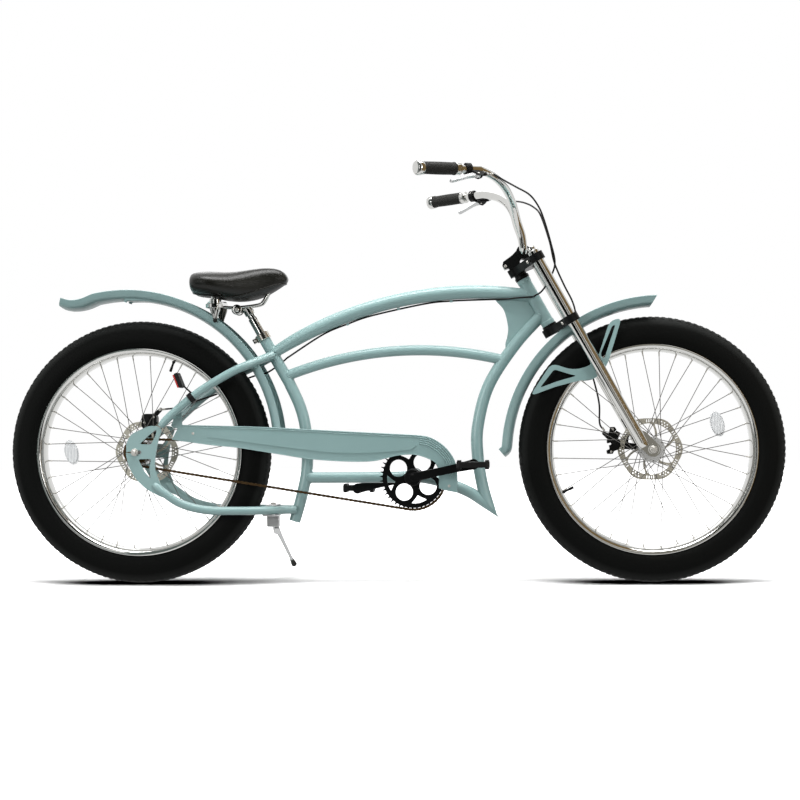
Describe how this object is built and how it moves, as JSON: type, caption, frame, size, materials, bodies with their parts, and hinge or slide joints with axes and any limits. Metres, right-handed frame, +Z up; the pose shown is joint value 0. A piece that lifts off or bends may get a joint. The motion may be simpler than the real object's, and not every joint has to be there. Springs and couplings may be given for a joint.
{
  "type": "stretch cruiser bicycle",
  "caption": "Stretch cruiser bicycle: long low frame, fat tyres on spoked wheels, chain drive, raked crown fork, swept handlebar, padded saddle, fenders and disc brakes.",
  "frame": {"origin": "on the ground midway between the two axles, in the middle plane", "axes": "+X forward, +Y to the rider's left, +Z up"},
  "size_m": [2.146, 0.8012, 1.1204],
  "materials": {
    "sage_paint": "satin sage grey-green paint",
    "chrome": "bright chrome plating",
    "alloy": "polished alloy",
    "black": "satin black",
    "tire": "matte black rubber",
    "grip": "matte black rubber",
    "vinyl": "soft black-olive vinyl",
    "steel": "bright steel",
    "chain_brown": "brown chain finish",
    "red_lens": "glossy red",
    "cable_black": "black cable housing"
  },
  "bodies": {
    "frame": {"head_tube": "sage_paint", "top_tube": "sage_paint", "middle_tube": "sage_paint", "down_tube": "sage_paint", "seat_tube": "sage_paint", "lower_tube": "sage_paint", "gusset_plate": "sage_paint", "seatstay_left": "sage_paint", "seatstay_right": "sage_paint", "chainstay_left": "sage_paint", "chainstay_right": "sage_paint", "dropout_left": "sage_paint", "dropout_right": "sage_paint", "kickstand_bracket": "black", "headset_cup": "black", "chain_guard": "sage_paint", "rear_fender": "sage_paint", "fender_loop": "sage_paint", "seat_collar": "alloy", "rear_caliper": "black", "rear_brake_cable": "cable_black", "stay_reflector": "red_lens", "rear_axle": "steel", "chain": "chain_brown"},
    "steering": {"lower_crown": "black", "upper_crown": "black", "fork_leg_left": "chrome", "fork_leg_right": "chrome", "stem": "black", "handlebar": "chrome", "grip_left": "grip", "grip_right": "grip", "brake_perch_left": "black", "brake_perch_right": "black", "front_fender": "sage_paint", "front_caliper": "black", "front_brake_cable": "cable_black", "handlebar_cable": "cable_black", "front_axle": "steel"},
    "front_wheel": {"front_tire": "tire", "front_rim": "chrome", "front_hub": "alloy", "front_rotor": "steel"},
    "rear_wheel": {"rear_tire": "tire", "rear_rim": "chrome", "rear_hub": "alloy", "rear_rotor": "steel"},
    "cog": {"rear_cog": "chain_brown"},
    "crank": {"crankset": "black", "chainring": "black"},
    "left_pedal": {"pedal_left": "black"},
    "right_pedal": {"pedal_right": "black"},
    "left_lever": {"brake_lever_left": "black"},
    "right_lever": {"brake_lever_right": "black"},
    "front_arm": {"front_caliper_arm": "black"},
    "rear_arm": {"rear_caliper_arm": "black"},
    "kickstand": {"kickstand_leg": "alloy"},
    "seat": {"seat_post": "chrome", "saddle_frame": "chrome", "saddle": "vinyl"}
  },
  "joints": [
    {"name": "steering", "type": "hinge", "parent": "frame", "child": "steering", "pos_m": [0.64253, 0, 0.32841], "axis": [-0.4879, 0, 0.8729], "range_deg": [-60, 60], "deforming": ["handlebar_cable"]},
    {"name": "front_wheel_spin", "type": "hinge", "parent": "steering", "child": "front_wheel", "pos_m": [0.708, 0, 0.365], "axis": [0, 1, 0], "continuous": true},
    {"name": "rear_wheel_spin", "type": "hinge", "parent": "frame", "child": "rear_wheel", "pos_m": [-0.708, 0, 0.365], "axis": [0, 1, 0], "continuous": true},
    {"name": "crank_spin", "type": "hinge", "parent": "frame", "child": "crank", "pos_m": [0.05511, 0, 0.2925], "axis": [0, 1, 0], "continuous": true, "deforming": ["chain"]},
    {"name": "freewheel_spin", "type": "hinge", "parent": "frame", "child": "cog", "pos_m": [-0.708, 0, 0.365], "axis": [0, 1, 0], "continuous": true},
    {"name": "pedal_left_spin", "type": "hinge", "parent": "crank", "child": "left_pedal", "pos_m": [-0.11117, 0, 0.25716], "axis": [0, 1, 0], "continuous": true},
    {"name": "pedal_right_spin", "type": "hinge", "parent": "crank", "child": "right_pedal", "pos_m": [0.2214, 0, 0.32784], "axis": [0, 1, 0], "continuous": true},
    {"name": "brake_lever_left_pull", "type": "hinge", "parent": "steering", "child": "left_lever", "pos_m": [0.24244, 0.29619, 1.08792], "axis": [0.3823, 0.5952, 0.7068], "range_deg": [0, 13], "stiffness_Nm_per_rad": 0.5, "springref_deg": -11.46},
    {"name": "brake_lever_right_pull", "type": "hinge", "parent": "steering", "child": "right_lever", "pos_m": [0.24244, -0.29619, 1.08792], "axis": [-0.3823, 0.5952, -0.7068], "range_deg": [0, 13], "stiffness_Nm_per_rad": 0.5, "springref_deg": -11.46},
    {"name": "front_caliper_arm_swing", "type": "hinge", "parent": "steering", "child": "front_arm", "pos_m": [0.606, 0.0683, 0.389], "axis": [0, 1, 0], "range_deg": [0, 7], "deforming": ["front_brake_cable"]},
    {"name": "rear_caliper_arm_swing", "type": "hinge", "parent": "frame", "child": "rear_arm", "pos_m": [-0.702, 0.0921, 0.455], "axis": [0, 1, 0], "range_deg": [0, 7], "deforming": ["rear_brake_cable"]},
    {"name": "kickstand_swing", "type": "hinge", "parent": "frame", "child": "kickstand", "pos_m": [-0.336, 0.034, 0.154], "axis": [-0.21, 0.8912, 0.4021], "range_deg": [0, 98]},
    {"name": "seat_post_slide", "type": "slide", "parent": "frame", "child": "seat", "axis": [-0.4924, 0, 0.8704], "range_m": [0, 0.06]}
  ],
  "couplings": [
    {"joint": "freewheel_spin", "follows": "crank_spin", "ratio": 2.4444},
    {"joint": "front_caliper_arm_swing", "follows": "brake_lever_left_pull", "ratio": 0.5},
    {"joint": "rear_caliper_arm_swing", "follows": "brake_lever_right_pull", "ratio": 0.5}
  ]
}
